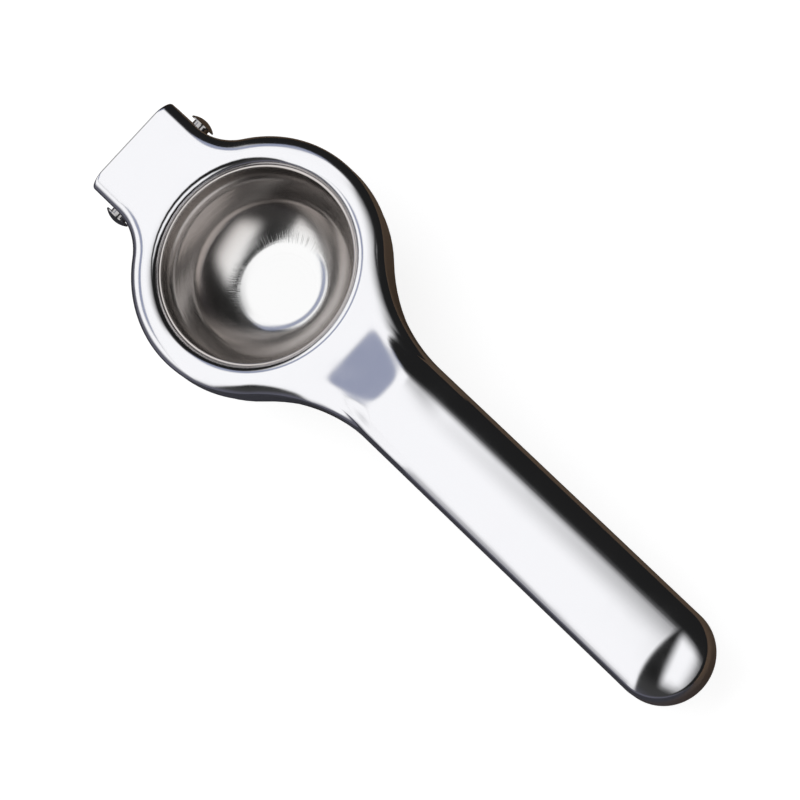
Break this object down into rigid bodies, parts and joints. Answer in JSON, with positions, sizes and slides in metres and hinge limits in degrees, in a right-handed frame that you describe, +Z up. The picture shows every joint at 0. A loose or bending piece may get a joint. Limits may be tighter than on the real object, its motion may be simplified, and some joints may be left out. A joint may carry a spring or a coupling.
{
  "type": "lemon squeezer",
  "caption": "Hand lemon squeezer: two hinged stamped steel arms, a press cup in the upper one closing into a perforated strainer cup in the lower one.",
  "frame": {"origin": "middle of the closed tool's outline, on the surface it lies on", "axes": "+X from the hinge towards the grips' round end, +Z up with the press cup's mouth on top, +Y to the tool's left seen from the hinge; lying on the strainer cup's corner and the grip's underside, so the tool's own axis dips 6 degrees towards +X"},
  "size_m": [0.1992, 0.065, 0.0362],
  "materials": {
    "polished_steel": "mirror-polished stainless steel",
    "satin_steel": "satin stainless steel with fine drawing marks",
    "rivet_steel": "polished stainless steel rivet and washers"
  },
  "bodies": {
    "lower_arm": {"lower_shell": "polished_steel", "strainer_cup": "satin_steel", "hinge_pin": "rivet_steel", "hinge_spacer": "rivet_steel", "head_washers": "rivet_steel", "ear_washers": "rivet_steel"},
    "upper_arm": {"upper_shell": "polished_steel", "press_cup": "satin_steel"}
  },
  "joints": [
    {"name": "arm_hinge", "type": "hinge", "parent": "lower_arm", "child": "upper_arm", "pos_m": [-0.09178, 0, 0.02805], "axis": [0, -1, 0], "range_deg": [0, 140]}
  ]
}
